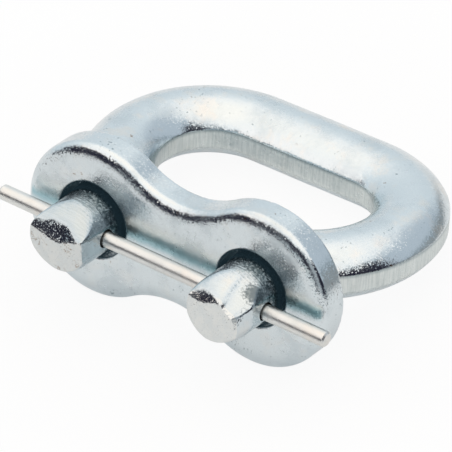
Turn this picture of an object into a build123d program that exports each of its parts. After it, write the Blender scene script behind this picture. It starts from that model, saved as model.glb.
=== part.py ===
# Chain connecting link: a forged bow, a side plate that closes it, and a cross pin.
#
# All sizes are in millimetres.  The link is drawn in its own plane: +X along the plate, +Y
# from the plate's front face towards the closed side of the bow, +Z out of the plane.  At the
# end it is moved so that the origin is the middle of the eye, and leaned about X, because it
# rests on the two lobes of its plate and on the closed side of its bow.
from build123d import *

import os
from math import acos, atan2, cos, degrees, hypot, radians, sin, sqrt

# The round-link chain that the link joins
CHAIN_BAR = 10.0
CHAIN_PITCH = 35.0          # inner length of one of its links

# Bow
EYE_WIDTH = 26.8            # from the plate to the closed side
BAR_WIDTH = 11.3            # across the trimmed sides
BAR_HEIGHT = 9.7
BAR_LAND = 2.6              # height of the flats that flash trimming left
CORNER_RADIUS = 13.3        # centre line of the bends at the closed side
CORNER_ANGLE = 72.0
SHOULDER_WIDTH = 13.2       # the bar swells to this where the plate stops against it
SHOULDER_HEIGHT = 11.6
SHOULDER_EASE = 0.55        # between its outer side and the centre of the bend into it

# Stubs of the bow that carry the plate
STUB_DIAMETER = CHAIN_BAR
STUB_WIDTH = 9.5            # across the trimmed sides
STUB_SPACING = 28.5
ROOT_DIAMETER = 11.2        # taper at the shoulder, inside the plate
ROOT_RUN = 1.6              # length of the taper in front of the plate
LEFT_STUB_LENGTH = 8.4
RIGHT_STUB_LENGTH = 8.7
LEFT_NOSE_DROP = 4.4        # the upper edge rolled over when the ends were sheared
RIGHT_NOSE_DROP = 3.7
LEFT_NOSE_ARCH = 30.0       # radius of the line where the roll-over meets the end
RIGHT_NOSE_ARCH = 10.0
NOSE_SHIFT = 1.2            # the middle of that line lies this far to the left
NOSE_SLANT = 1.25           # length of the roll-over over its drop
END_CHAMFER = 0.35

# Side plate
PLATE_THICKNESS = 5.0
HOLE_CLEARANCE = 2.2        # over the stub, on the diameter
LOBE_MARGIN = 6.4           # from the rim of a hole to the rim of the plate
WAIST_WIDTH = 16.8
HOLE_SHIFT = 0.4            # the holes were punched this far left of the plate's middle
HOLE_RISE = 0.3             # and this far above it
ROLL_OVER = 1.3             # rounded front rim that punching left
HOLE_EDGE = 0.2
SHOULDER_GAP = 0.06

# Cross pin
PIN_DIAMETER = 2.4
PIN_LENGTH = 58.6
PIN_SHIFT = 0.4             # its middle lies this far to the right
PIN_NOSE = 0.85             # rounding of its left end
PIN_EDGE = 0.25             # chamfer of its right end
BORE_CLEARANCE = 0.5        # on the diameter
BORE_SETBACK = 2.85         # from the plate's front face
BORE_DROP = 0.1             # below the axis of the stubs
BORE_SLOPE = 1.2            # degrees, falling to the right
PIN_SETTLE = 0.12           # the pin lies this far down and back in its bore


def flank_radius():
    """Radius of the flank that runs smoothly from the corner bend into the shoulder bend."""
    rise = sin(CORNER_END)
    across = STUB_X + SHOULDER_BEND - FLANK_END
    along = CORNER_Y + CORNER_RADIUS * rise - SHOULDER_Y
    slope = 2 * (SHOULDER_BEND + along * rise - across)
    rest = across ** 2 + along ** 2 - SHOULDER_BEND ** 2
    return 2 * rest / (slope + sqrt(slope ** 2 - 4 * rise ** 2 * rest))


# Derived sizes
HOLE_DIAMETER = STUB_DIAMETER + HOLE_CLEARANCE
LOBE_RADIUS = HOLE_DIAMETER / 2 + LOBE_MARGIN
STUB_X = STUB_SPACING / 2
SHOULDER_Y = PLATE_THICKNESS + SHOULDER_GAP
CLOSED_Y = PLATE_THICKNESS + EYE_WIDTH + BAR_WIDTH / 2      # centre line of the closed side
CORNER_END = radians(90 - CORNER_ANGLE)
CORNER_Y = CLOSED_Y - CORNER_RADIUS
FLANK_END = (CHAIN_PITCH + BAR_WIDTH) / 2                   # widest point of the centre line
SHOULDER_BEND = SHOULDER_WIDTH / 2 + SHOULDER_EASE
FLANK_RADIUS = flank_radius()
FLANK_X = FLANK_END - FLANK_RADIUS
FLANK_Y = CORNER_Y - (FLANK_RADIUS - CORNER_RADIUS) * sin(CORNER_END)
CORNER_X = FLANK_X + (FLANK_RADIUS - CORNER_RADIUS) * cos(CORNER_END)
SHOULDER_TURN = degrees(atan2(FLANK_Y - SHOULDER_Y, STUB_X + SHOULDER_BEND - FLANK_X))
EYE_Y = PLATE_THICKNESS + EYE_WIDTH / 2


def trimmed_oval(width, height, land):
    """Oval section whose two sides are trimmed flat."""
    full_width = width / sqrt(1 - (land / height) ** 2)
    return Ellipse(full_width / 2, height / 2) & Rectangle(width, 2 * height)


def make_right_half():
    """Right half of the bar: half the closed side, a round end and the swelling arm."""
    closed = Line((0, CLOSED_Y), (CORNER_X, CLOSED_Y))
    corner = CenterArc((CORNER_X, CORNER_Y), CORNER_RADIUS, 90, -CORNER_ANGLE)
    flank_start = 90 - CORNER_ANGLE
    flank = CenterArc((FLANK_X, FLANK_Y), FLANK_RADIUS, flank_start, -flank_start - SHOULDER_TURN)
    section = Plane(origin=(0, CLOSED_Y, 0), x_dir=(0, 1, 0), z_dir=(1, 0, 0))
    bar = trimmed_oval(BAR_WIDTH, BAR_HEIGHT, BAR_LAND)
    half = sweep(section * bar, path=Wire([closed.edge(), corner.edge(), flank.edge()]))

    bend_centre = (STUB_X + SHOULDER_BEND, SHOULDER_Y)
    bend = CenterArc(bend_centre, SHOULDER_BEND, 180 - SHOULDER_TURN, SHOULDER_TURN)
    across = Vector(cos(radians(SHOULDER_TURN)), -sin(radians(SHOULDER_TURN)))
    bend_plane = Plane(origin=bend @ 0, x_dir=across, z_dir=bend % 0)
    shoulder_plane = Plane(origin=bend @ 1, x_dir=(1, 0, 0), z_dir=(0, -1, 0))
    swell = SHOULDER_WIDTH / BAR_WIDTH
    shoulder = trimmed_oval(SHOULDER_WIDTH, SHOULDER_HEIGHT, BAR_LAND * swell)
    return half + sweep([bend_plane * bar, shoulder_plane * shoulder], path=bend, multisection=True)


def make_stub(length, drop, arch):
    """One stub, with its root taper, trimmed sides and sheared, rolled-over end."""
    radius = STUB_DIAMETER / 2
    whole = SHOULDER_Y + length
    stub = Cylinder(radius, whole)
    stub = chamfer(stub.faces().sort_by(Axis.Z)[-1].edges(), END_CHAMFER)
    stub = Pos(0, SHOULDER_Y - whole / 2, 0) * Rot(90, 0, 0) * stub
    stub &= Pos(0, SHOULDER_Y - whole / 2, 0) * Box(STUB_WIDTH, 2 * whole, 2 * STUB_DIAMETER)
    reach = SHOULDER_Y + ROOT_RUN
    stub += Pos(0, SHOULDER_Y - reach / 2, 0) * Rot(90, 0, 0) * Cone(ROOT_DIAMETER / 2, radius, reach)

    roll_start = NOSE_SLANT * drop - length
    roll = TangentArc((roll_start, arch + drop), (-length, arch), tangent=(-1, 0))
    rest = Polyline(
        (-length, arch), (-length, 0), (2 * radius, 0), (2 * radius, arch + drop), (roll_start, arch + drop),
    )
    profile = Plane.YZ * make_face([*roll.edges(), *rest.edges()])
    nose = revolve(profile, Axis.Y)
    return stub & Pos(-NOSE_SHIFT, 0, radius - drop - arch) * nose


def bore_line():
    """Middle of the cross bore, turned so that its Z axis runs along the bore."""
    return Pos(0, -BORE_SETBACK, -BORE_DROP) * Rot(0, 90 + BORE_SLOPE, 0)


def make_bow():
    """The forged bow: bar, shoulders and stubs in one piece, cross-drilled for the pin."""
    half = make_right_half()
    bow = half + half.mirror(Plane.YZ)
    bow += Pos(-STUB_X, 0, 0) * make_stub(LEFT_STUB_LENGTH, LEFT_NOSE_DROP, LEFT_NOSE_ARCH)
    bow += Pos(STUB_X, 0, 0) * make_stub(RIGHT_STUB_LENGTH, RIGHT_NOSE_DROP, RIGHT_NOSE_ARCH)
    return bow - bore_line() * Cylinder((PIN_DIAMETER + BORE_CLEARANCE) / 2, 2 * STUB_SPACING)


def make_plate():
    """The side plate: two lobes joined by a waist, punched with two loose holes."""
    waist = WAIST_WIDTH / 2
    waist_radius = (STUB_X ** 2 + waist ** 2 - LOBE_RADIUS ** 2) / (2 * (LOBE_RADIUS - waist))
    lean = atan2(waist + waist_radius, STUB_X)
    joint_x = STUB_X - LOBE_RADIUS * cos(lean)
    joint_z = LOBE_RADIUS * sin(lean)
    arcs = []
    for side in (-1, 1):
        lobe_tip = (side * (STUB_X + LOBE_RADIUS), 0)
        arcs.append(ThreePointArc((side * joint_x, joint_z), lobe_tip, (side * joint_x, -joint_z)))
        arcs.append(ThreePointArc((-joint_x, side * joint_z), (0, side * waist), (joint_x, side * joint_z)))
    outline = Pos(HOLE_SHIFT, -HOLE_RISE) * make_face([arc.edge() for arc in arcs])
    plate = extrude(Plane.XZ * outline, -PLATE_THICKNESS)
    front = plate.faces().sort_by(Axis.Y)[0]
    plate = fillet(front.edges(), ROLL_OVER)
    for side in (-1, 1):
        hole = Pos(side * STUB_X, PLATE_THICKNESS / 2, 0) * Rot(90, 0, 0)
        plate -= hole * Cylinder(HOLE_DIAMETER / 2, 2 * PLATE_THICKNESS)
    front = plate.faces().sort_by(Axis.Y)[0]
    rims = [wire.edges() for wire in front.inner_wires()]
    return chamfer([edge for rim in rims for edge in rim], HOLE_EDGE)


def make_pin():
    """The cross pin, lying at the bottom of its bore."""
    pin = Cylinder(PIN_DIAMETER / 2, PIN_LENGTH)
    pin = fillet(pin.faces().sort_by(Axis.Z)[0].edges(), PIN_NOSE)
    pin = chamfer(pin.faces().sort_by(Axis.Z)[-1].edges(), PIN_EDGE)
    return Pos(0, PIN_SETTLE, -PIN_SETTLE) * bore_line() * Pos(0, 0, PIN_SHIFT) * pin


def rest_lean():
    """Angle at which the far edge of the lobes and the closed side touch the ground."""
    reach = CLOSED_Y - PLATE_THICKNESS
    drop = LOBE_RADIUS + HOLE_RISE
    return degrees(acos(BAR_HEIGHT / 2 / hypot(drop, reach)) - atan2(reach, drop))


def main():
    """Build the three pieces, rest them on the ground and write one file for each."""
    os.makedirs("parts", exist_ok=True)
    rest = Rot(-rest_lean(), 0, 0) * Pos(0, -EYE_Y, 0)
    nodes = {"bow": make_bow(), "side_plate": make_plate(), "cross_pin": make_pin()}
    for name, solid in nodes.items():
        placed = rest * solid
        placed.label = name
        export_step(placed, f"parts/{name}.step")


main()
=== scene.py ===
"""Zinc-plated chain connecting link: a forged bow, a punched side plate and a drawn cross pin.

The pieces are shaped in the link's own frame, where +X runs along the plate, +Y from the
plate's front face to the closed side of the bow and +Z out of the plane of the link.  Each
finished piece is then leaned over and set down on the ground as the CAD model rests.
"""

from math import acos, asin, atan2, cos, degrees, hypot, pi, radians, sin, sqrt, tan

import bmesh
import bpy
from bpy.props import FloatProperty, FloatVectorProperty, PointerProperty
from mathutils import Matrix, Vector


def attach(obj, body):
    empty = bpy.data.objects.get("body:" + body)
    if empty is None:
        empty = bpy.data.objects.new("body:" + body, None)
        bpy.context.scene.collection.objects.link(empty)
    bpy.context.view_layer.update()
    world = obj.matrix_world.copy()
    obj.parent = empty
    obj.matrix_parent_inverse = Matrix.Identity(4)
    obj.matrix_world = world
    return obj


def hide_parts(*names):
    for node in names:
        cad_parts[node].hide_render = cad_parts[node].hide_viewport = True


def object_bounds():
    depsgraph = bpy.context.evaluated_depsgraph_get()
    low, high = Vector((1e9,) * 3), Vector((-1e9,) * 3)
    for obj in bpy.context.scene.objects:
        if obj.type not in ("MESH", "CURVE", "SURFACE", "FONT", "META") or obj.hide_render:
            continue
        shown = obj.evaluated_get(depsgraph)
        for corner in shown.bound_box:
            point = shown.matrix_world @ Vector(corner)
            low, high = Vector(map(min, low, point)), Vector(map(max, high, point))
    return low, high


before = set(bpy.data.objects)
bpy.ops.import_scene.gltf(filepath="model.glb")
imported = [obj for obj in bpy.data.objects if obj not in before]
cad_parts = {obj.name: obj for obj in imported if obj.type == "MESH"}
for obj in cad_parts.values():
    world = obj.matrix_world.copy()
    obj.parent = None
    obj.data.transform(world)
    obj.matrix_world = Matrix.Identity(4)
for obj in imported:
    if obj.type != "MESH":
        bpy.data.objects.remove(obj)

bpy.context.view_layer.update()
CAD_BOX = [list(corner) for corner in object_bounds()]
GROUND = CAD_BOX[0][2]
MM = 0.001
NEAR = 0.01 * MM             # places closer than this count as level with each other
HAIR = 1e-6                  # vertices closer than this many metres are one

bl_info = {
    "name": "Chain connecting link",
    "version": (1, 0, 0),
    "blender": (4, 5, 0),
    "location": "View3D > Sidebar > Connecting Link",
    "description": "Builds a zinc-plated chain connecting link and a small studio for it",
    "category": "Add Mesh",
}


def length(name, description, default):
    """A length property given in millimetres and kept in metres."""
    return FloatProperty(
        name=name, description=description, default=default * MM, min=0.0, unit="LENGTH", precision=5,
    )


def turn(name, description, default):
    """An angle property given in degrees and kept in radians."""
    return FloatProperty(name=name, description=description, default=radians(default), subtype="ANGLE")


class BowSizes(bpy.types.PropertyGroup):
    bar_width: length("Bar width", "Across the trimmed sides", 11.3)
    bar_height: length("Bar height", "Out of the plane of the link", 9.7)
    bar_land: length("Bar land", "Height of the flats that flash trimming left", 2.8)
    land_edge: length("Land edge", "Rounding of the flats' edges", 0.16)
    closed_y: length("Closed side", "Centre line of the closed side", 37.45)
    corner_radius: length("Corner radius", "Centre line of the bends at the closed side", 13.3)
    flank_end: length("Flank reach", "Widest point of the centre line", 23.15)
    shoulder_width: length("Shoulder width", "Bar width where the plate stops", 13.2)
    shoulder_height: length("Shoulder height", "Bar height where the plate stops", 11.6)
    shoulder_y: length("Shoulder", "Distance of the shoulder from the plate's front face", 5.06)
    shoulder_ease: length("Shoulder ease", "Bend radius beyond half the shoulder", 0.55)
    stub_x: length("Stub distance", "From the middle of the link to a stub", 14.25)
    stub_diameter: length("Stub diameter", "Round part of a stub", 10.0)
    stub_width: length("Stub width", "Across the trimmed sides of a stub", 9.5)
    root_diameter: length("Root diameter", "Start of the taper inside the plate", 11.2)
    root_run: length("Root run", "Length of the taper in front of the plate", 1.6)
    end_chamfer: length("End chamfer", "Broken edge of a stub's end", 0.35)
    corner_angle: turn("Corner angle", "Angle that the tight corner bend turns through", 72)


class StubSizes(bpy.types.PropertyGroup):
    left_length: length("Left stub", "From the plate's front face", 8.4)
    right_length: length("Right stub", "From the plate's front face", 8.7)
    bore_diameter: length("Bore", "Diameter of the cross bore", 2.9)
    bore_setback: length("Bore setback", "From the plate's front face", 2.85)
    bore_drop: length("Bore drop", "Below the axis of the stubs", 0.1)
    pinch_run: length("Pinch run", "How far back the pinch at the right side of the end goes", 3.0)
    bevel_lean: turn("Bevel lean", "The bevel over the flat end leans back by this", 24)
    bore_slope: turn("Bore slope", "The bore falls to the right by this", 1.2)
    roll_start: FloatProperty(
        name="Roll-over start", description="Slope at which the roll-over leaves the bevel", default=0.9,
    )
    roll_power: FloatProperty(
        name="Roll-over power", description="How soon the roll-over flattens out", default=1.8,
    )


class PlateSizes(bpy.types.PropertyGroup):
    thickness: length("Thickness", "Of the plate", 5.0)
    lobe_radius: length("Lobe radius", "Rim of the plate round a hole", 12.5)
    waist_width: length("Waist width", "Narrowest width between the lobes", 16.8)
    hole_diameter: length("Hole diameter", "Loose on the stubs", 12.2)
    hole_lip: length("Hole lip", "Rounding of a hole's front rim", 0.3)
    hole_shift: length("Hole shift", "The outline lies this far to the right of the holes", 0.4)
    hole_rise: length("Hole rise", "The outline lies this far below the holes", 0.3)
    roll_depth: length("Roll-over depth", "Depth of the rounded front rim that punching left", 1.3)
    roll_width: length("Roll-over width", "Width of the rounded front rim on the face", 2.6)


class PinSizes(bpy.types.PropertyGroup):
    diameter: length("Diameter", "Of the drawn wire", 2.4)
    length: length("Length", "Of the pin", 58.6)
    shift: length("Shift", "The middle of the pin lies this far to the right", 0.4)
    nose: length("Nose", "Rounding of the left end", 0.85)
    edge: length("Edge", "Chamfer of the right end", 0.25)
    settle: length("Settle", "The pin lies this far down and back in its bore", 0.12)


# ---------------------------------------------------------------------------- editing helpers

def choose(piece):
    """Make a piece the active one and the only one that is selected."""
    bpy.ops.object.select_all(action="DESELECT")
    piece.select_set(True)
    bpy.context.view_layer.objects.active = piece


def fix_place():
    """Write the chosen piece's place and turn into its mesh."""
    bpy.ops.object.transform_apply(location=True, rotation=True, scale=True)


def edit(piece):
    """Open one piece in edit mode with nothing selected."""
    choose(piece)
    bpy.ops.object.mode_set(mode="EDIT")
    bpy.ops.mesh.select_mode(type="VERT")
    bpy.ops.mesh.select_all(action="DESELECT")


def leave():
    """Back to object mode."""
    bpy.ops.object.mode_set(mode="OBJECT")


def take_all():
    """Select the whole open mesh."""
    bpy.ops.mesh.select_all(action="SELECT")


def move(offset):
    """Move the selection."""
    bpy.ops.transform.translate(value=offset)


def first_point(place):
    """Start a piece as one selected vertex, open in edit mode."""
    bpy.ops.mesh.primitive_plane_add(size=MM)
    piece = bpy.context.object
    edit(piece)
    take_all()
    bpy.ops.mesh.merge(type="CENTER")
    move(place)
    return piece


def weld(distance=HAIR):
    """Select the whole open mesh and merge the vertices that meet."""
    take_all()
    bpy.ops.mesh.remove_doubles(threshold=distance)


def face_outwards():
    """Select the whole open mesh and turn its faces outwards."""
    take_all()
    bpy.ops.mesh.normals_make_consistent(inside=False)


def pick(test):
    """Select the vertices of the open mesh whose place passes the test."""
    mesh = bmesh.from_edit_mesh(bpy.context.edit_object.data)
    for vertex in mesh.verts:
        vertex.select_set(bool(test(vertex.co)))
    mesh.select_flush_mode()
    bmesh.update_edit_mesh(bpy.context.edit_object.data)


def picked():
    """Places of the selected vertices."""
    mesh = bmesh.from_edit_mesh(bpy.context.edit_object.data)
    return [vertex.co.copy() for vertex in mesh.verts if vertex.select]


def middle():
    """Middle of the selected vertices."""
    places = picked()
    return sum(places, Vector()) / len(places)


def pull(offset=(0, 0, 0), steps=1):
    """Extrude the selection by an offset, in equal steps."""
    one_step = [value / steps for value in offset]
    for _ in range(steps):
        bpy.ops.mesh.extrude_region_move(TRANSFORM_OT_translate={"value": one_step})


def widen(share):
    """Scale the selection round its middle in X and Z."""
    bpy.ops.transform.resize(value=(share, 1, share), center_override=middle())


def bevel_edges(offset, segments):
    """Bevel the selected edges."""
    bpy.ops.mesh.select_mode(type="EDGE")
    bpy.ops.mesh.bevel(offset=offset, segments=segments, affect="EDGES")
    bpy.ops.mesh.select_mode(type="VERT")


def quarter_round(steps):
    """Steps of a quarter circle of radius 1: how far each goes sideways and forwards."""
    for step in range(steps):
        before, after = pi / 2 * step / steps, pi / 2 * (step + 1) / steps
        yield cos(before) - cos(after), sin(after) - sin(before)


def modify(piece, kind, **settings):
    """Add a modifier, set it up and apply it."""
    choose(piece)
    bpy.ops.object.modifier_add(type=kind)
    modifier = piece.modifiers[-1]
    for key, value in settings.items():
        setattr(modifier, key, value)
    bpy.ops.object.modifier_apply(modifier=modifier.name)


def remove(piece):
    """Delete a helper piece."""
    choose(piece)
    bpy.ops.object.delete()


def skin(piece, layers):
    """Give a surface its unevenness: pairs of bump size and height."""
    for index, (size, height) in enumerate(layers):
        texture = bpy.data.textures.new(f"{piece.name}_skin_{index}", "CLOUDS")
        texture.noise_scale = size
        texture.noise_depth = 2
        texture.noise_basis = "ORIGINAL_PERLIN"
        modify(piece, "DISPLACE", texture=texture, strength=height)


def rest_lean():
    """Angle at which the plate's lobes and the closed side of the bow touch the ground."""
    bow = bpy.context.scene.link_bow
    plate = bpy.context.scene.link_plate
    reach = bow.closed_y - plate.thickness
    drop = plate.lobe_radius + plate.hole_rise
    return acos(bow.bar_height / 2 / hypot(drop, reach)) - atan2(reach, drop)


def eye_middle():
    """Distance of the eye's middle from the plate's front face."""
    bow = bpy.context.scene.link_bow
    plate = bpy.context.scene.link_plate
    return (bow.closed_y - bow.bar_width / 2 + plate.thickness) / 2


def set_down(piece):
    """Move a finished piece from the link's own frame to where the link rests."""
    choose(piece)
    piece.location = (0, -eye_middle(), 0)
    fix_place()
    piece.rotation_euler = (-rest_lean(), 0, 0)
    fix_place()


def dress(piece, name, node, material, smooth_angle):
    """Name a finished piece, shade it and let it stand for its CAD node."""
    piece.name = name
    piece.data.name = name
    piece.data.materials.clear()
    piece.data.materials.append(material)
    choose(piece)
    bpy.ops.object.shade_smooth_by_angle(angle=smooth_angle)
    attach(piece, node)
    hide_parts(node)


# ---------------------------------------------------------------------------- bow

SECTION_POINTS = 84          # round the bar before subdivision
LAND_GROUP = "land_edges"

# The cropped end of each stub.  "edge" is the upper edge of the flat end and "brow" the upper
# border of the bevel over it, from left to right as (x, z) in mm from the stub's axis.  "rim" is
# the outline of the lower half as (angle in degrees, radius in mm).  "pinch" tells how far the
# right side is knocked in, and it grows from nothing to full between the two "pinch_heights" in mm.
LEFT_END = {
    "side": -1,
    "edge": (
        (-4.8, 1.3), (-3.2, 0.85), (-2.0, 0.55), (-0.9, 0.3), (0.0, 0.2), (0.9, 0.35), (2.1, 0.85),
        (3.1, 1.1), (4.75, 1.75),
    ),
    "brow": (
        (-4.8, 2.2), (-3.8, 2.75), (-3.1, 2.95), (-1.7, 3.2), (-0.4, 3.15), (0.8, 3.05), (1.9, 2.7),
        (3.0, 2.1), (3.9, 1.75), (4.5, 1.6),
    ),
    "rim": ((180, 5.0), (205, 4.95), (227, 4.6), (249, 4.4), (284, 4.55), (317, 4.8), (345, 5.0)),
    "pinch": 0.1,
    "pinch_heights": (-1.5, 1.7),
}
RIGHT_END = {
    "side": 1,
    "edge": (
        (-4.8, 1.4), (-3.7, 1.13), (-2.8, 1.0), (-1.7, 1.2), (-0.66, 1.5), (0.2, 1.85), (0.85, 2.05),
        (1.5, 1.25), (2.6, 0.69), (4.75, 0.23),
    ),
    "brow": (
        (-4.8, 1.6), (-4.3, 2.2), (-3.8, 2.6), (-2.4, 3.0), (-0.9, 2.85), (0.2, 2.5), (0.9, 2.02),
        (1.5, 1.25), (2.6, 0.69), (4.75, 0.23),
    ),
    "rim": (
        (180, 5.08), (205, 5.1), (235, 5.12), (252, 5.12), (270, 4.87), (286, 4.65), (305, 4.45),
        (328, 4.5), (350, 5.0),
    ),
    "pinch": 0.37,
    "pinch_heights": (-3.0, 0.2),
}
HIGHEST_BROW = 0.95          # the brow takes no more than this share of the height over the flat end
TRIM_RUN = 0.2 * MM          # the stub's sides are trimmed over this length
LEFT_TRIM = 0.05 * MM        # how deep its left side is trimmed; the stub's width sets the right side
SHOULDER_STEP = 0.93         # the shoulder's face reaches in to this share of its size


def draw_section(bow):
    """The bar's section at the middle of the closed side: two arcs between two trimmed flats."""
    half = bow.bar_width / 2
    foot = bow.bar_land / 2
    rise = bow.bar_height / 2 - foot
    radius = (half ** 2 + rise ** 2) / (2 * rise)
    drop = radius - bow.bar_height / 2
    over = -2 * asin(half / radius)
    steps = SECTION_POINTS // 2 - 2
    piece = first_point((0, half, foot))
    for side in (-1, 1):
        bpy.ops.mesh.spin(steps=steps, angle=over, center=(0, 0, side * drop), axis=(1, 0, 0))
        pull((0, 0, 2 * side * foot), steps=2)
    weld()
    piece.vertex_groups.new(name=LAND_GROUP)
    pick(lambda co: abs(co.y) > half - HAIR and abs(co.z) > foot - HAIR)
    bpy.ops.object.vertex_group_assign()
    take_all()
    move((0, bow.closed_y, 0))
    return piece


def flank_radius(bow, corner_end, bend):
    """Radius of the flank that runs smoothly from the corner bend into the shoulder bend."""
    rise = sin(corner_end)
    corner_y = bow.closed_y - bow.corner_radius
    across = bow.stub_x + bend - bow.flank_end
    back = corner_y + bow.corner_radius * rise - bow.shoulder_y
    slope = 2 * (bend + back * rise - across)
    rest = across ** 2 + back ** 2 - bend ** 2
    return 2 * rest / (slope + sqrt(slope ** 2 - 4 * rise ** 2 * rest))


def sweep_arm(bow):
    """Sweep the open section along half the closed side, the round end and the swelling arm."""
    corner_end = pi / 2 - bow.corner_angle
    bend = bow.shoulder_width / 2 + bow.shoulder_ease
    flank = flank_radius(bow, corner_end, bend)
    corner_y = bow.closed_y - bow.corner_radius
    flank_x = bow.flank_end - flank
    flank_y = corner_y - (flank - bow.corner_radius) * sin(corner_end)
    corner_x = flank_x + (flank - bow.corner_radius) * cos(corner_end)
    swing = atan2(flank_y - bow.shoulder_y, bow.stub_x + bend - flank_x)

    pull((corner_x, 0, 0), steps=14)
    down = (0, 0, 1)
    bpy.ops.mesh.spin(steps=26, angle=bow.corner_angle, center=(corner_x, corner_y, 0), axis=down)
    bpy.ops.mesh.spin(steps=22, angle=corner_end + swing, center=(flank_x, flank_y, 0), axis=down)
    steps = 22
    bend_centre = (bow.stub_x + bend, bow.shoulder_y, 0)

    def growth(swollen, plain, step):
        """How much one step makes the bar swell over the step before."""
        whole = swollen / plain - 1
        return (1 + whole * (step + 1) / steps) / (1 + whole * step / steps)

    for step in range(steps):
        bpy.ops.mesh.spin(steps=1, angle=-swing / steps, center=bend_centre, axis=down)
        across = growth(bow.shoulder_width, bow.bar_width, step)
        high = growth(bow.shoulder_height, bow.bar_height, step)
        bpy.ops.transform.resize(value=(across, across, high), center_override=middle())


def round_off(radius, centre):
    """Turn the selected open end into a circle of the given radius."""
    bpy.ops.transform.tosphere(value=1.0)
    reach = sum((co - Vector(centre)).length for co in picked()) / len(picked())
    bpy.ops.transform.resize(value=(radius / reach,) * 3, center_override=centre)


def draw_root(bow):
    """Step in at the shoulder and taper to the stub."""
    centre = Vector((bow.stub_x, bow.shoulder_y, 0))
    pull()
    bpy.ops.transform.resize(value=(SHOULDER_STEP,) * 3, center_override=centre)
    pull()
    round_off(bow.root_diameter / 2, centre)
    steps = 8
    reach = bow.shoulder_y + bow.root_run
    last = bow.root_diameter
    for step in range(steps):
        pull((0, -reach / steps, 0))
        size = bow.root_diameter + (bow.stub_diameter - bow.root_diameter) * (step + 1) / steps
        widen(size / last)
        last = size


def draw_stub(bow, side, stub_length):
    """Trim the sides of one stub, draw it out to its full length and close its end with a grid."""
    open_y = -bow.root_run
    pick(lambda co: co.x * side > 0 and co.y < open_y + NEAR)
    pull((0, -TRIM_RUN, 0))
    for edge, width in ((-1, bow.stub_diameter - 2 * LEFT_TRIM), (1, bow.stub_width)):
        face = side * bow.stub_x + edge * width / 2
        pick(lambda co: co.y < open_y - NEAR and co.x * side > 0 and (co.x - face) * edge > 0)
        bpy.ops.transform.resize(value=(0, 1, 1), center_override=(face, 0, 0))
    pick(lambda co: co.x * side > 0 and co.y < open_y - NEAR)
    pull((0, -(stub_length + open_y - TRIM_RUN), 0), steps=24)
    bpy.ops.mesh.fill_grid(span=SECTION_POINTS // 4)


def finish_bar(piece, bow):
    """Round the flats' edges a little and smooth the whole bar."""
    edit(piece)
    bpy.ops.object.vertex_group_set_active(group=LAND_GROUP)
    bpy.ops.object.vertex_group_select()
    bevel_edges(bow.land_edge, 2)
    weld(2 * HAIR)
    face_outwards()
    leave()
    modify(piece, "SUBSURF", levels=1, render_levels=1)


def cut(piece, cutter):
    """Take a cutter's volume away from a piece, and delete the cutter."""
    modify(piece, "BOOLEAN", operation="DIFFERENCE", object=cutter, solver="EXACT")
    remove(cutter)


def read_off(points, place):
    """Second value of a line of points at a first value, carried on beyond its ends."""
    for first, last in zip(points, points[1:]):
        if place <= last[0]:
            break
    share = (place - first[0]) / (last[0] - first[0])
    return first[1] + share * (last[1] - first[1])


def between(value, low, high):
    """How far a value lies from low to high, kept between 0 and 1."""
    return min(1.0, max(0.0, (value - low) / (high - low)))


def knocked(x, y, z, bow, end, stub_length):
    """X and Z of a point of a stub's end, once its lower rim and right side are knocked in."""
    fade = max(0.0, 1 - (y + stub_length) / bpy.context.scene.link_stubs.pinch_run) ** 2
    high = between(z, *(height * MM for height in end["pinch_heights"]))
    if z < 0:
        around = read_off(end["rim"], degrees(atan2(z, x)) + 360) * MM / (bow.stub_diameter / 2)
        x *= 1 + (around - 1) * fade
        z *= 1 + (around - 1) * fade
    return x - end["pinch"] * sqrt(high) * fade * max(0.0, x) ** 2 / (bow.stub_width / 2), z


def shear_end(piece, bow, end, stub_length):
    """Roll the top of a stub's end over and knock its rim and right side, as cropping left it."""
    stubs = bpy.context.scene.link_stubs
    side = end["side"]
    open_y = -bow.root_run - 0.3 * MM      # what lies nearer to the shoulder stays as it is
    axis = side * bow.stub_x
    radius = bow.stub_diameter / 2
    flat = bow.stub_width / 2
    cell = 0.13 * MM                       # half the spacing of the end's grid
    mesh = bmesh.new()
    mesh.from_mesh(piece.data)
    for vertex in mesh.verts:
        if vertex.co.y > open_y or vertex.co.x * side < 0:
            continue
        x, y, z = vertex.co.x - axis, vertex.co.y, vertex.co.z
        foot = read_off(end["edge"], x / MM) * MM
        drop = max(0.0, sqrt(max(0.0, radius ** 2 - x ** 2)) - foot)
        brow = min(foot + HIGHEST_BROW * drop, max(foot, read_off(end["brow"], x / MM) * MM))
        bevel = (brow - foot) * tan(stubs.bevel_lean)
        roll = foot + drop - brow
        reach = bevel + roll * stubs.roll_power / stubs.roll_start
        share = between(z, foot, foot + drop) if drop > 0 else 0.0
        up = between(z, brow, brow + roll) if roll > 0 else 0.0
        on_end = y < NEAR - stub_length
        if on_end and abs(z - foot) < cell < drop / 2:
            z, share = foot, 0.0
        border = max(0.0, min(radius - hypot(x, z), flat - x))
        inner = max(0.0, 1 - border / bow.end_chamfer)
        rim = bow.end_chamfer * (1 - sqrt(1 - inner ** 2)) * (1 - share) * between(z, 0.0, -radius)
        rolled = bevel + (reach - bevel) * up if z > brow else (z - foot) * tan(stubs.bevel_lean)
        back = max(rolled, rim)
        if on_end:
            y = back - stub_length
            if z > brow:
                z = brow + roll * (1 - (1 - up) ** stubs.roll_power)
        else:
            y = open_y + (open_y - y) / (open_y + stub_length) * (back - stub_length - open_y)
        x, z = knocked(x, y, z, bow, end, stub_length)
        vertex.co = (x + axis, y, z)
    mesh.to_mesh(piece.data)
    mesh.free()
    edit(piece)
    pick(lambda co: co.y < open_y - 0.8 * MM and co.x * side > 0 and co.y > NEAR - stub_length)
    bpy.ops.mesh.vertices_smooth(factor=0.5, repeat=6)
    leave()


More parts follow.
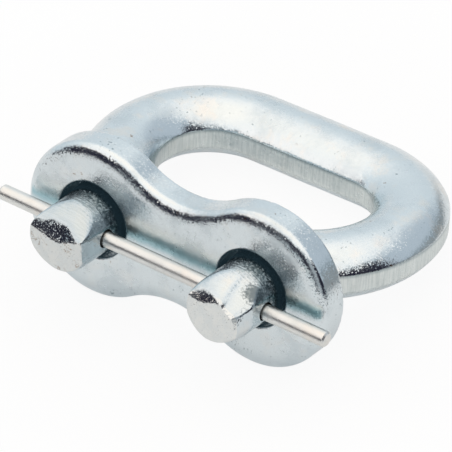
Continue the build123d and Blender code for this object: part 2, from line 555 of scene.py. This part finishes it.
def bore_place(piece, shift, settle):
    """Turn a bar that lies along X to the line of the cross bore, and shift it along that line."""
    stubs = bpy.context.scene.link_stubs
    slope = stubs.bore_slope
    piece.rotation_euler = (0, slope, 0)
    piece.location = (
        shift * cos(slope), settle - stubs.bore_setback, -stubs.bore_drop - settle - shift * sin(slope),
    )
    choose(piece)
    fix_place()


def drill(bow):
    """The drill that makes the cross bore through both stubs."""
    stubs = bpy.context.scene.link_stubs
    bpy.ops.mesh.primitive_cylinder_add(
        vertices=64, radius=stubs.bore_diameter / 2, depth=4 * bow.stub_x, rotation=(0, pi / 2, 0),
    )
    piece = bpy.context.object
    fix_place()
    bore_place(piece, 0, 0)
    return piece


class LINK_OT_bow(bpy.types.Operator):
    """Forge the bow: sweep the bar, draw the stubs, shear their ends and drill the cross bore"""

    bl_idname = "link.add_bow"
    bl_label = "Bow"

    def execute(self, context):
        bow = context.scene.link_bow
        stubs = context.scene.link_stubs
        piece = draw_section(bow)
        sweep_arm(bow)
        draw_root(bow)
        leave()
        modify(piece, "MIRROR", merge_threshold=HAIR)
        edit(piece)
        draw_stub(bow, 1, stubs.right_length)
        draw_stub(bow, -1, stubs.left_length)
        leave()
        finish_bar(piece, bow)
        shear_end(piece, bow, LEFT_END, stubs.left_length)
        shear_end(piece, bow, RIGHT_END, stubs.right_length)
        skin(piece, ((6 * MM, 0.10 * MM), (1.6 * MM, 0.035 * MM)))
        cut(piece, drill(bow))
        set_down(piece)
        dress(piece, "bow_forged", "bow", forging_finish(), radians(32))
        return {"FINISHED"}


# ---------------------------------------------------------------------------- side plate

def draw_outline(plate, stub_x):
    """Outline of the plate: two lobes joined by a waist, drawn as one loop."""
    waist = plate.waist_width / 2
    lobe = plate.lobe_radius
    waist_radius = (stub_x ** 2 + waist ** 2 - lobe ** 2) / (2 * (lobe - waist))
    lean = atan2(waist + waist_radius, stub_x)
    half = pi / 2 - lean
    piece = first_point((0, 0, waist))
    turns = (
        (0, waist + waist_radius, half, 14, 1),
        (stub_x, 0, 2 * (pi - lean), 90, -1),
        (0, -waist - waist_radius, 2 * half, 28, 1),
        (-stub_x, 0, 2 * (pi - lean), 90, -1),
        (0, waist + waist_radius, half, 14, 1),
    )
    for x, z, angle, steps, way in turns:
        bpy.ops.mesh.spin(steps=steps, angle=way * angle, center=(x, 0, z), axis=(0, 1, 0))
    weld()
    bpy.ops.mesh.edge_face_add()
    return piece


def roll_front_rim(plate):
    """Round the front rim as a punch leaves it: tight at the side, long and shallow at the face."""
    for sideways, forwards in quarter_round(14):
        bpy.ops.mesh.inset(thickness=plate.roll_width * sideways, depth=0)
        move((0, -plate.roll_depth * forwards, 0))


def punch(x, plate):
    """The punch that makes one hole of the plate, flared so that it rounds the front rim."""
    lip = plate.hole_lip
    bpy.ops.mesh.primitive_circle_add(
        vertices=160, radius=plate.hole_diameter / 2, fill_type="NGON",
        location=(x, 2 * plate.thickness, 0), rotation=(pi / 2, 0, 0),
    )
    piece = bpy.context.object
    fix_place()
    edit(piece)
    take_all()
    pull((0, lip - 2 * plate.thickness, 0))
    size = plate.hole_diameter / 2
    for sideways, forwards in quarter_round(8):
        pull((0, -lip * forwards, 0))
        widen((size + lip * sideways) / size)
        size += lip * sideways
    for _ in range(2):                     # past the front face, so that the cut comes out clean
        pull((0, -0.12 * MM, 0))
        widen(1.05)
    face_outwards()
    leave()
    return piece


class LINK_OT_plate(bpy.types.Operator):
    """Punch the side plate: a peanut blank with a rolled-over front rim and two loose holes"""

    bl_idname = "link.add_plate"
    bl_label = "Side plate"

    def execute(self, context):
        plate = context.scene.link_plate
        stub_x = context.scene.link_bow.stub_x
        piece = draw_outline(plate, stub_x)
        take_all()
        move((0, plate.thickness, 0))
        pull((0, plate.roll_depth - plate.thickness, 0))
        roll_front_rim(plate)
        face_outwards()
        move((plate.hole_shift, 0, -plate.hole_rise))
        leave()
        modify(piece, "REMESH", mode="VOXEL", voxel_size=0.21 * MM)
        modify(piece, "SMOOTH", factor=0.5, iterations=2)
        skin(piece, ((7 * MM, 0.10 * MM), (1.6 * MM, 0.03 * MM)))
        for side in (-1, 1):
            cut(piece, punch(side * stub_x, plate))
        edit(piece)
        weld()
        leave()
        set_down(piece)
        dress(piece, "side_plate_punched", "side_plate", plate_finish(), radians(40))
        return {"FINISHED"}


# ---------------------------------------------------------------------------- cross pin

class LINK_OT_pin(bpy.types.Operator):
    """Cut the cross pin from drawn wire: its left end rounded, its right end chamfered"""

    bl_idname = "link.add_pin"
    bl_label = "Cross pin"

    def execute(self, context):
        pin = context.scene.link_pin
        bpy.ops.mesh.primitive_circle_add(vertices=64, radius=pin.diameter / 2, rotation=(0, pi / 2, 0))
        piece = bpy.context.object
        fix_place()
        edit(piece)
        take_all()
        move((-pin.length / 2, 0, 0))
        bpy.ops.mesh.edge_face_add()
        nose_run = pin.nose + 0.2 * MM     # room for the rounding of the left end
        edge_run = 0.5 * MM                # and for the chamfer of the right end
        for run, steps in ((nose_run, 2), (pin.length - nose_run - edge_run, 120), (edge_run, 1)):
            pull((run, 0, 0), steps)
        for end, offset, segments in ((-1, pin.nose, 8), (1, pin.edge, 1)):
            pick(lambda co: co.x * end > pin.length / 2 - NEAR)
            bevel_edges(offset, segments)
        weld()
        face_outwards()
        leave()
        skin(piece, ((3 * MM, 0.02 * MM),))
        bore_place(piece, pin.shift, pin.settle)
        set_down(piece)
        dress(piece, "cross_pin_drawn", "cross_pin", wire_finish(), radians(35))
        return {"FINISHED"}


# ---------------------------------------------------------------------------- finishes

def tint(name, description, *rgb):
    """A colour property."""
    return FloatVectorProperty(
        name=name, description=description, default=(*rgb, 1), size=4, min=0, max=1, subtype="COLOR",
    )


class FinishColours(bpy.types.PropertyGroup):
    zinc: tint("Zinc", "Colour of the bright plating", 0.70, 0.775, 0.805)
    warm: tint("Warm plating", "Colour where the plating is thin or yellowed", 0.78, 0.77, 0.73)
    dull: tint("Dull plating", "Colour of the dull blotches", 0.55, 0.63, 0.67)
    land: tint("Trimmed land", "Colour of the trimmed sides of the bar", 0.72, 0.77, 0.755)
    land_dark: tint("Land streaks", "Colour of the streaks on the trimmed sides", 0.58, 0.64, 0.63)
    # shade also paints the shadow along the top of the lands, under their upper edge
    shade: tint("Rubbed plating", "Colour of pits, scratches and rubbed places", 0.20, 0.28, 0.31)
    # painted shade: the stubs by the plate and the inside of the plate's holes
    root: tint("Stub root", "Colour of the stubs close to the plate", 0.045, 0.075, 0.09)
    # painted light: the faint glow in the gap between stub and hole
    gap_glow: tint("Film in the gap", "How the film between stub and hole shows", 0.008, 0.016, 0.021)
    # painted shade from the cross pin on the plate's face
    teal: tint("Teal tarnish", "Colour of the tarnish along the cross pin", 0.34, 0.54, 0.60)
    cropped: tint("Cropped end", "Colour of the flat ends of the stubs", 0.82, 0.82, 0.78)
    rust: tint("Rust", "Colour of the small rusty specks", 0.25, 0.17, 0.11)


def new_group(name, inputs, outputs):
    """A shader node group with the named sockets: the group, its inner inputs and its inner outputs."""
    group = bpy.data.node_groups.new(name, "ShaderNodeTree")
    for in_out, sockets in (("INPUT", inputs), ("OUTPUT", outputs)):
        for label, kind in sockets.items():
            group.interface.new_socket(name=label, in_out=in_out, socket_type=f"NodeSocket{kind}")
    return group, group.nodes.new("NodeGroupInput").outputs, group.nodes.new("NodeGroupOutput").inputs


def feed(socket, value):
    """Give an input socket a value: a constant, or a link from another socket."""
    if isinstance(value, bpy.types.NodeSocket):
        socket.id_data.links.new(value, socket)
    elif value is not None:
        socket.default_value = value


def add_node(tree, kind, **values):
    """A new shader node of a kind; the values go to its inputs."""
    node = tree.nodes.new(f"ShaderNode{kind}")
    for label, value in values.items():
        feed(node.inputs[label], value)
    return node


def math_node(tree, operation, first, second=None, clamp=False):
    """One Math node; each value is a number or a socket."""
    node = add_node(tree, "Math")
    node.operation = operation
    node.use_clamp = clamp
    feed(node.inputs[0], first)
    feed(node.inputs[1], second)
    return node.outputs[0]


def times(tree, first, *others):
    """Product of numbers and sockets."""
    for other in others:
        first = math_node(tree, "MULTIPLY", first, other)
    return first


def plus(tree, first, second):
    """Sum of two numbers or sockets."""
    return math_node(tree, "ADD", first, second)


def minus(tree, first, second):
    """Difference of two numbers or sockets."""
    return math_node(tree, "SUBTRACT", first, second)


def noise(tree, vector, scale, detail, roughness):
    """One Noise Texture node; returns its factor."""
    node = add_node(tree, "TexNoise", Vector=vector, Scale=scale, Detail=detail, Roughness=roughness)
    return node.outputs["Fac"]


def band(tree, value, low, high):
    """A smooth step from 0 at low to 1 at high."""
    node = add_node(tree, "MapRange", **{"Value": value, "From Min": low, "From Max": high})
    node.interpolation_type = "SMOOTHSTEP"
    return node.outputs["Result"]


def blend(tree, mask, first, second):
    """Mix two colours by a mask; each of the three is a value or a socket."""
    node = add_node(tree, "Mix")
    node.data_type = "RGBA"
    for slot_index, value in ((0, mask), (6, first), (7, second)):
        feed(node.inputs[slot_index], value)
    return node.outputs[2]


def vector_node(tree, operation, first, second=None, scale=None):
    """One Vector Math node; each value is a vector or a socket."""
    node = add_node(tree, "VectorMath")
    node.operation = operation
    feed(node.inputs[0], first)
    feed(node.inputs[1], second)
    if scale is not None:
        feed(node.inputs["Scale"], scale)
    return node.outputs["Value" if operation in ("LENGTH", "DOT_PRODUCT") else "Vector"]


def band_mm(tree, value, ends):
    """A smooth step between two places in mm."""
    return band(tree, value, ends[0] * MM, ends[1] * MM)


def along(tree, place, direction):
    """How far a place lies along a direction."""
    return vector_node(tree, "DOT_PRODUCT", place, direction)


def grain_group():
    """Zinc crystals: small facets, each with its own tilt, a few of them tilted far."""
    group, given, made = new_group(
        "plating_grain", {"Vector": "Vector", "Crystals": "Float", "Tilt": "Float"},
        {"Normal": "Vector", "Mottle": "Float"},
    )
    crystals = add_node(group, "TexVoronoi", Vector=given["Vector"], Scale=given["Crystals"])
    random = crystals.outputs["Color"]
    lean = vector_node(group, "SUBTRACT", random, (0.5, 0.5, 0.5))
    split = add_node(group, "SeparateColor", Color=random)
    share = plus(group, band(group, split.outputs[2], 0.5, 0.9), 0.3)
    lean = vector_node(group, "SCALE", lean, scale=times(group, share, given["Tilt"]))
    normal = add_node(group, "NewGeometry").outputs["Normal"]
    feed(made["Normal"], vector_node(group, "NORMALIZE", vector_node(group, "ADD", normal, lean)))
    feed(made["Mottle"], noise(group, given["Vector"], 1300.0, 4, 0.6))
    return group


def blotch_group():
    """Handling marks: broad dull blotches, warm ones, and small rusty specks and pits in patches."""
    group, given, made = new_group(
        "handling_marks", {"Vector": "Vector"},
        {"Dull": "Float", "Warm": "Float", "Specks": "Float", "Pits": "Float"},
    )

    def blots(scale, detail, roughness, low, high):
        """Soft-edged blots where a noise is higher than most of it."""
        return band(group, noise(group, given["Vector"], scale, detail, roughness), low, high)

    feed(made["Dull"], blots(160.0, 4, 0.6, 0.45, 0.68))
    feed(made["Warm"], blots(260.0, 3, 0.6, 0.5, 0.72))
    specks = times(group, blots(900.0, 2, 0.5, 0.70, 0.76), blots(120.0, 1, 0.5, 0.56, 0.64))
    feed(made["Specks"], specks)
    pits = times(group, blots(1900.0, 1, 0.5, 0.66, 0.78), blots(210.0, 2, 0.5, 0.45, 0.62))
    feed(made["Pits"], pits)
    return group


def gap_glow_group():
    """Painted light: a faint glow in the gap between stub and hole, which no lamp reaches."""
    group, given, made = new_group("gap_glow_nodes", {"Mask": "Float", "Haze": "Color"}, {"Glow": "Color"})
    feed(made["Glow"], blend(group, given["Mask"], (0, 0, 0, 1), given["Haze"]))
    return group


def group_node(tree, name, build, **values):
    """A node of a group, which is built at its first use; the values go to its inputs."""
    node = add_node(tree, "Group")
    node.node_tree = bpy.data.node_groups.get(name) or build()
    for label, value in values.items():
        feed(node.inputs[label], value)
    return node


def lay(shader, mask, strength, colour):
    """Lay a colour over the shader's Base Color where the mask is."""
    tree, socket = shader.id_data, shader.inputs["Base Color"]
    feed(socket, blend(tree, times(tree, mask, strength), socket.links[0].from_socket, colour))


def add_to(socket, value):
    """Add a value to what feeds an input socket."""
    feed(socket, plus(socket.id_data, socket.links[0].from_socket, value))


def plated(name, warm_share, roughness=0.15, crystals=6500.0, bump_height=0.012 * MM, tilt=0.0):
    """A zinc-plated finish: its material, node tree, shader, bump node and crystal node."""
    colours = bpy.context.scene.link_finish
    material = bpy.data.materials.new(name)
    material.use_nodes = True
    tree = material.node_tree
    shader = tree.nodes["Principled BSDF"]
    feed(shader.inputs["Metallic"], 1.0)
    place = add_node(tree, "TexCoord").outputs["Object"]
    grain = group_node(tree, "plating_grain", grain_group, Vector=place, Crystals=crystals, Tilt=tilt)
    marks = group_node(tree, "handling_marks", blotch_group, Vector=place).outputs
    dull = times(tree, marks["Dull"], 0.55)
    feed(shader.inputs["Base Color"], blend(tree, dull, colours.zinc, colours.dull))
    lay(shader, marks["Warm"], warm_share, colours.warm)
    lay(shader, marks["Pits"], 0.7, colours.shade)
    lay(shader, marks["Specks"], 1.0, colours.rust)
    mottle = times(tree, minus(tree, grain.outputs["Mottle"], 0.5), 0.2)
    rough = plus(tree, mottle, times(tree, marks["Dull"], 0.08))
    feed(shader.inputs["Roughness"], plus(tree, rough, roughness))
    facets = grain.outputs["Normal"]
    bump = add_node(tree, "Bump", Distance=bump_height, Height=grain.outputs["Mottle"], Normal=facets)
    feed(shader.inputs["Normal"], bump.outputs["Normal"])
    return material, tree, shader, bump, grain


def link_frame(tree):
    """Where a point lies in the link's own frame: its X, Y and Z, and all three as one vector."""
    lean = rest_lean()
    place = add_node(tree, "TexCoord").outputs["Object"]
    x = along(tree, place, (1, 0, 0))
    y = plus(tree, along(tree, place, (0, cos(lean), -sin(lean))), eye_middle())
    z = along(tree, place, (0, sin(lean), cos(lean)))
    return x, y, z, add_node(tree, "CombineXYZ", X=x, Y=y, Z=z).outputs[0]


def gap_glow(shader, mask):
    """Painted light: let the gap between stub and hole glow faintly where the mask is."""
    glow_colour = bpy.context.scene.link_finish.gap_glow
    glow_node = group_node(shader.id_data, "gap_glow_nodes", gap_glow_group, Mask=mask, Haze=glow_colour)
    feed(shader.inputs["Emission Color"], glow_node.outputs["Glow"])
    feed(shader.inputs["Emission Strength"], 1.0)


# Painted dark reflections on the right stub: middle in the link's frame and radius, in mm
DARK_REFLECTION_PATCHES = (((18.3, -4.4, 2.9), 2.7), ((18.8, -7.8, 1.9), 1.5))
# Parts of the bow along Y: where each starts and where it is full, in mm
BAR = (0, 2)
# GAP holds the painted glow between stub and hole
GAP = (-1, 0)
# DARK_ROOTS holds the painted shade at the stub roots
DARK_ROOTS = (-4.3, -1)
WORN_ROOTS = (-5.5, -2)
ROUGH_SIDES = (-6.6, -5.4)
FLAT_ENDS = (-8.2, -8.35)


def painted_shade_mask(tree, place, y, ring, on_stub):
    """Painted shade on the stubs: dark at their roots by the plate, with a ragged edge, and painted dark
    reflections in a few patches.
    """
    ragged = plus(tree, y, times(tree, minus(tree, ring, 0.5), 4 * MM))
    roots = times(tree, band_mm(tree, ragged, DARK_ROOTS), on_stub)
    speckle = band(tree, noise(tree, place, 2600.0, 2, 0.6), 0.38, 0.62)
    shade_speckle = minus(tree, 1.25, times(tree, speckle, 0.6))
    painted_shade = math_node(tree, "MULTIPLY", roots, shade_speckle, clamp=True)
    for centre, radius in DARK_REFLECTION_PATCHES:
        off = vector_node(tree, "SUBTRACT", place, tuple(value * MM for value in centre))
        off = plus(tree, vector_node(tree, "LENGTH", off), times(tree, speckle, 0.7 * MM))
        patch = times(tree, band(tree, off, radius * MM, 0.5 * radius * MM), 0.85)
        painted_shade = math_node(tree, "MAXIMUM", painted_shade, patch)
    return painted_shade


def crack_mask(tree, place):
    """Short hair cracks that come in patches."""
    off_line = math_node(tree, "ABSOLUTE", minus(tree, noise(tree, place, 900.0, 3, 0.6), 0.5))
    patch = band(tree, noise(tree, place, 420.0, 1, 0.5), 0.55, 0.62)
    return times(tree, band(tree, off_line, 0.022, 0.006), patch)


def forging_finish():
    """Plating on the bow: streaked lands, painted shade on the stubs by the plate and under the lands' upper
    edge, pale cropped ends.
    """
    colours = bpy.context.scene.link_finish
    material, tree, shader, bump, grain = plated("zinc_on_forging", warm_share=0.6)
    x, y, z, place = link_frame(tree)

    # where: bar and stubs, the trimmed lands of the bar, the bar's crown, the stubs' flat ends
    on_bar = band_mm(tree, y, BAR)
    on_stub = minus(tree, 1.0, on_bar)
    on_left = times(tree, band_mm(tree, x, (0, -1)), on_stub)
    on_end = band_mm(tree, y, FLAT_ENDS)
    top = bpy.context.scene.link_bow.bar_land / 2
    under_top = band(tree, z, top + 0.05 * MM, top - 0.1 * MM)
    over_foot = band(tree, z, -top - 1.4 * MM, -top - 0.2 * MM)
    land = times(tree, under_top, over_foot, on_bar)
    # painted shadow: the top of the lands, just under their crisp upper edge
    under_edge = times(tree, land, band(tree, z, top - 0.7 * MM, top))
    crown = times(tree, band_mm(tree, z, (3, 4)), on_bar)

    # what: upright streaks, scratches round the stubs, mottled and cracked ends, painted shade at the stub
    # roots and painted dark reflections on the right stub
    upright = vector_node(tree, "MULTIPLY", place, (3200.0, 3200.0, 260.0))
    streak = noise(tree, upright, 1.0, 2, 0.6)
    rings = vector_node(tree, "MULTIPLY", place, (260.0, 4200.0, 260.0))
    ring = noise(tree, rings, 1.0, 3, 0.7)
    scratches = plus(tree, times(tree, band(tree, ring, 0.38, 0.64), 0.6), 0.4)
    scratched = plus(tree, times(tree, on_stub, 0.07), times(tree, on_left, 0.15))
    mottle = band(tree, noise(tree, place, 750.0, 4, 0.7), 0.36, 0.64)
    cracks = times(tree, crack_mask(tree, place), on_end, on_left)
    painted_shade = painted_shade_mask(tree, place, y, ring, on_stub)

    tone = blend(tree, band(tree, streak, 0.35, 0.65), colours.land_dark, colours.land)
    for mask, strength, colour in (
        (land, 0.8, tone),
        (under_edge, 0.55, colours.shade),
        (on_stub, 0.35, colours.dull),
        (on_left, 0.7, colours.dull),
        (scratched, scratches, colours.shade),
        (on_end, 0.6, colours.cropped),
        (on_end, times(tree, mottle, 0.3), colours.dull),
        (cracks, 0.8, colours.rust),
        # painted shade at the stub roots and painted dark reflections on the right stub
        (painted_shade, 0.92, colours.root),
    ):
        lay(shader, mask, strength, colour)
    # painted light: a faint glow in the gap between stub and hole
    gap_glow(shader, times(tree, band_mm(tree, y, GAP), on_stub))

    for mask, strength in ((land, 0.15), (crown, 0.08)):
        add_to(shader.inputs["Roughness"], times(tree, mask, strength))
    stub_side = times(tree, on_stub, band_mm(tree, y, ROUGH_SIDES))
    tilt = minus(tree, 0.20, times(tree, crown, 0.07))
    feed(grain.inputs["Tilt"], plus(tree, tilt, times(tree, stub_side, 0.14)))
    stub_root = times(tree, on_stub, band_mm(tree, y, WORN_ROOTS))
    for mask, relief, strength in ((land, streak, 1.2), (stub_root, ring, 0.9), (on_end, mottle, 2.0)):
        add_to(bump.inputs["Height"], times(tree, mask, relief, strength))
    return material


def plate_finish():
    """Plating on the plate: painted shade along the cross pin and inside the holes, with a faint painted glow
    in the holes.
    """
    colours = bpy.context.scene.link_finish
    material, tree, shader, _, grain = plated("zinc_on_plate", warm_share=0.25)
    x, y, z, place = link_frame(tree)

    # painted shade from the cross pin, just above the middle of the face, with a wavering edge
    waver = minus(tree, noise(tree, place, 300.0, 2, 0.6), 0.5)
    beside = math_node(tree, "ABSOLUTE", minus(tree, z, 0.5 * MM))
    beside = plus(tree, beside, times(tree, waver, 1.2 * MM))
    pin_shade_band = times(tree, band_mm(tree, beside, (1.5, 0.1)), band_mm(tree, y, (0.5, 0.3)))
    lay(shader, pin_shade_band, 0.9, colours.teal)

    # painted shade inside the holes, and the faint painted glow there
    aside = minus(tree, math_node(tree, "ABSOLUTE", x), bpy.context.scene.link_bow.stub_x)
    squares = plus(tree, math_node(tree, "POWER", aside, 2.0), math_node(tree, "POWER", z, 2.0))
    hole = bpy.context.scene.link_plate.hole_diameter / 2
    in_round = band(tree, math_node(tree, "SQRT", squares), hole + 0.35 * MM, hole + 0.1 * MM)
    in_hole = times(tree, in_round, band_mm(tree, y, (0.05, 0.5)))
    lay(shader, in_hole, 0.9, colours.root)
    gap_glow(shader, in_hole)

    flat = band_mm(tree, y, (0.15, 0.05))
    add_to(shader.inputs["Roughness"], times(tree, flat, 0.08))
    feed(grain.inputs["Tilt"], minus(tree, 0.22, times(tree, flat, 0.09)))
    return material


def wire_finish():
    """Plating on the cross pin: satin and a little yellowed all over."""
    material, _, shader, _, _ = plated(
        "zinc_on_wire", warm_share=1.0, roughness=0.34, crystals=6000.0, bump_height=0.004 * MM, tilt=0.12,
    )
    lay(shader, 1.0, 0.6, bpy.context.scene.link_finish.warm)
    return material


# ---------------------------------------------------------------------------- studio

# Soft panels round the object: name, range of azimuth from the front and of elevation in degrees,
# softness of the upright and level edges in degrees, and the light that each gives
PANELS = (
    ("right_wall", (108, 176), (-30, 38), (10, 6), (0.57, 0.62, 0.68)),
    ("right_horizon", (112, 168), (-30, 5), (12, 5), (0.32, 0.37, 0.41)),
    ("front_opening", (-60, 110), (-30, 38), (7, 4), (0.02, 0.02, 0.035)),
    ("left_window", (-60, -22), (28, 50), (6, 4), (1.30, 1.20, 1.15)),
    ("low_card", (-16, 14), (-30, 13), (8, 4), (0.62, 0.65, 0.66)),
    ("right_fill", (26, 58), (-30, 44), (8, 6), (0.42, 0.44, 0.46)),
)
# Elevation in degrees and the light of the tent there
SKY = (
    (0, (0.74, 0.79, 0.83)),
    (24, (0.82, 0.86, 0.89)),
    (38, (0.98, 0.99, 1.00)),
    (50, (1.24, 1.17, 1.13)),
    (75, (1.38, 1.25, 1.14)),
)
TENT_STRENGTH = 1.4          # the tent's colours stay under 1, so its light is this much stronger
PAPER_WHITE = 0.92           # how white the paper shows beside the object; it is full white far off
PAPER_SHEEN = 0.30           # how bright the plating mirrors it there, and how much less far off
SHEEN_LOSS = 0.17
# Directions in which the paper gets unlit, and where that starts and is full along each, in metres
UNLIT = (((0.643, 0.766, 0), 0.036, 0.075), ((1.409, 0.123, 0), 0.0, 0.06))
CAMERA_PLACE = (0.356886, -0.423283, 0.509315)
CAMERA_TURN = (46.943, 5.0836, 35.7386)      # in degrees
CAMERA_LENS = 407.74                         # in mm
CAMERA_SHIFT = (0.00184, 0.00047)


def panel_mask(tree, azimuth, elevation, across, up, soft):
    """1 inside a panel, 0 outside, with soft edges."""
    mask = 1.0
    for value, (low, high), edge in ((azimuth, across, soft[0]), (elevation, up, soft[1])):
        rise = band(tree, value, radians(low - edge), radians(low + edge))
        fall = band(tree, value, radians(high + edge), radians(high - edge))
        mask = times(tree, mask, rise, fall)
    return mask


def tent_colour(light):
    """A light of the tent as a colour."""
    return (*(value / TENT_STRENGTH for value in light), 1)


def mix_shaders(tree, share, first, second, output):
    """Feed an output with two shaders, the second of them by its share."""
    mix = add_node(tree, "MixShader")
    for socket, value in zip(mix.inputs, (share, first.outputs[0], second.outputs[0])):
        feed(socket, value)
    feed(output, mix.outputs[0])


def studio_world():
    """A soft tent that is darker and open to the front, with a few soft panels; white behind."""
    world = bpy.data.worlds.new("light_tent")
    bpy.context.scene.world = world
    world.use_nodes = True
    tree = world.node_tree
    tree.nodes.clear()
    place = add_node(tree, "TexCoord").outputs["Generated"]
    x, y, z = add_node(tree, "SeparateXYZ", Vector=place).outputs
    azimuth = math_node(tree, "ARCTAN2", x, times(tree, y, -1.0))
    elevation = math_node(tree, "ARCSINE", z)
    ramp = add_node(tree, "ValToRGB")
    while len(ramp.color_ramp.elements) < len(SKY):
        ramp.color_ramp.elements.new(0.5)
    for element, (height, light) in zip(ramp.color_ramp.elements, SKY):
        element.position = height / 90
        element.color = tent_colour(light)
    feed(ramp.inputs[0], math_node(tree, "DIVIDE", elevation, pi / 2, clamp=True))
    light = ramp.outputs[0]
    for name, across, up, soft, colour in PANELS:
        mask = panel_mask(tree, azimuth, elevation, across, up, soft)
        light = blend(tree, mask, light, tent_colour(colour))
        light.node.label = name
    tent = add_node(tree, "Background", Color=light, Strength=TENT_STRENGTH)
    white = add_node(tree, "Background", Color=(1, 1, 1, 1))
    seen = add_node(tree, "LightPath").outputs["Is Camera Ray"]
    mix_shaders(tree, seen, tent, white, add_node(tree, "OutputWorld").inputs[0])


def paper():
    """White paper, unlit beyond the object's right: it shows white and keeps a faint shadow."""
    material = bpy.data.materials.new("white_paper")
    material.use_nodes = True
    tree = material.node_tree
    shader = tree.nodes["Principled BSDF"]
    feed(shader.inputs["Roughness"], 0.9)
    place = add_node(tree, "TexCoord").outputs["Object"]
    unlit = 1.0
    for direction, start, full in UNLIT:
        unlit = times(tree, unlit, band(tree, along(tree, place, direction), start, full))
    colour = blend(tree, unlit, (0.90, 0.91, 0.92, 1), (0.30, 0.33, 0.35, 1))
    feed(shader.inputs["Base Color"], colour)
    glow = add_node(tree, "Emission", Color=(1, 1, 1, 1))
    far = band(tree, vector_node(tree, "LENGTH", place), 0.03, 0.09)
    path = add_node(tree, "LightPath").outputs
    white = plus(tree, times(tree, far, 1 - PAPER_WHITE), PAPER_WHITE)
    sheen = minus(tree, PAPER_SHEEN, times(tree, far, SHEEN_LOSS))
    seen = times(tree, path["Is Camera Ray"], white)
    mirrored = times(tree, path["Is Glossy Ray"], minus(tree, 1.0, unlit), sheen)
    share = math_node(tree, "MAXIMUM", seen, mirrored)
    mix_shaders(tree, share, shader, glow, tree.nodes["Material Output"].inputs["Surface"])
    return material


class LINK_OT_studio(bpy.types.Operator):
    """Set up the paper floor, the light tent and the camera"""

    bl_idname = "link.add_studio"
    bl_label = "Studio"

    def execute(self, context):
        bpy.ops.mesh.primitive_plane_add(size=3, location=(0, 0, GROUND))
        floor = context.object
        floor.name = "paper_floor"
        floor.data.materials.append(paper())
        studio_world()
        bpy.ops.object.camera_add(location=CAMERA_PLACE, rotation=[radians(turned) for turned in CAMERA_TURN])
        camera = context.object
        camera.name = "view"
        camera.data.lens = CAMERA_LENS
        camera.data.shift_x, camera.data.shift_y = CAMERA_SHIFT
        camera.data.clip_start = 0.01
        context.scene.camera = camera
        context.scene.view_settings.view_transform = "Standard"
        return {"FINISHED"}


class LINK_PT_panel(bpy.types.Panel):
    """Lists the pieces of the connecting link"""

    bl_idname = "LINK_PT_panel"
    bl_label = "Chain connecting link"
    bl_space_type = "VIEW_3D"
    bl_region_type = "UI"
    bl_category = "Connecting Link"

    def draw(self, context):
        layout = self.layout
        for operator in OPERATORS:
            layout.operator(operator.bl_idname)
        for group in SIZE_GROUPS:
            sizes = getattr(context.scene, group)
            box = layout.box()
            for name in sizes.bl_rna.properties.keys():
                if name not in ("rna_type", "name"):
                    box.prop(sizes, name)


OPERATORS = (LINK_OT_bow, LINK_OT_plate, LINK_OT_pin, LINK_OT_studio)
SIZE_GROUPS = {
    "link_bow": BowSizes,
    "link_stubs": StubSizes,
    "link_plate": PlateSizes,
    "link_pin": PinSizes,
    "link_finish": FinishColours,
}
CLASSES = (*SIZE_GROUPS.values(), *OPERATORS, LINK_PT_panel)


def register():
    """Register the classes and hang the sizes on the scene."""
    for kind in CLASSES:
        bpy.utils.register_class(kind)
    for name, kind in SIZE_GROUPS.items():
        setattr(bpy.types.Scene, name, PointerProperty(type=kind))


def unregister():
    """Take the sizes off the scene and unregister the classes."""
    for name in SIZE_GROUPS:
        delattr(bpy.types.Scene, name)
    for kind in reversed(CLASSES):
        bpy.utils.unregister_class(kind)


def main():
    """Build the link piece by piece, then the studio."""
    register()
    bpy.ops.link.add_bow()
    bpy.ops.link.add_plate()
    bpy.ops.link.add_pin()
    bpy.ops.link.add_studio()
    bpy.context.view_layer.update()


if __name__ == "__main__":
    main()
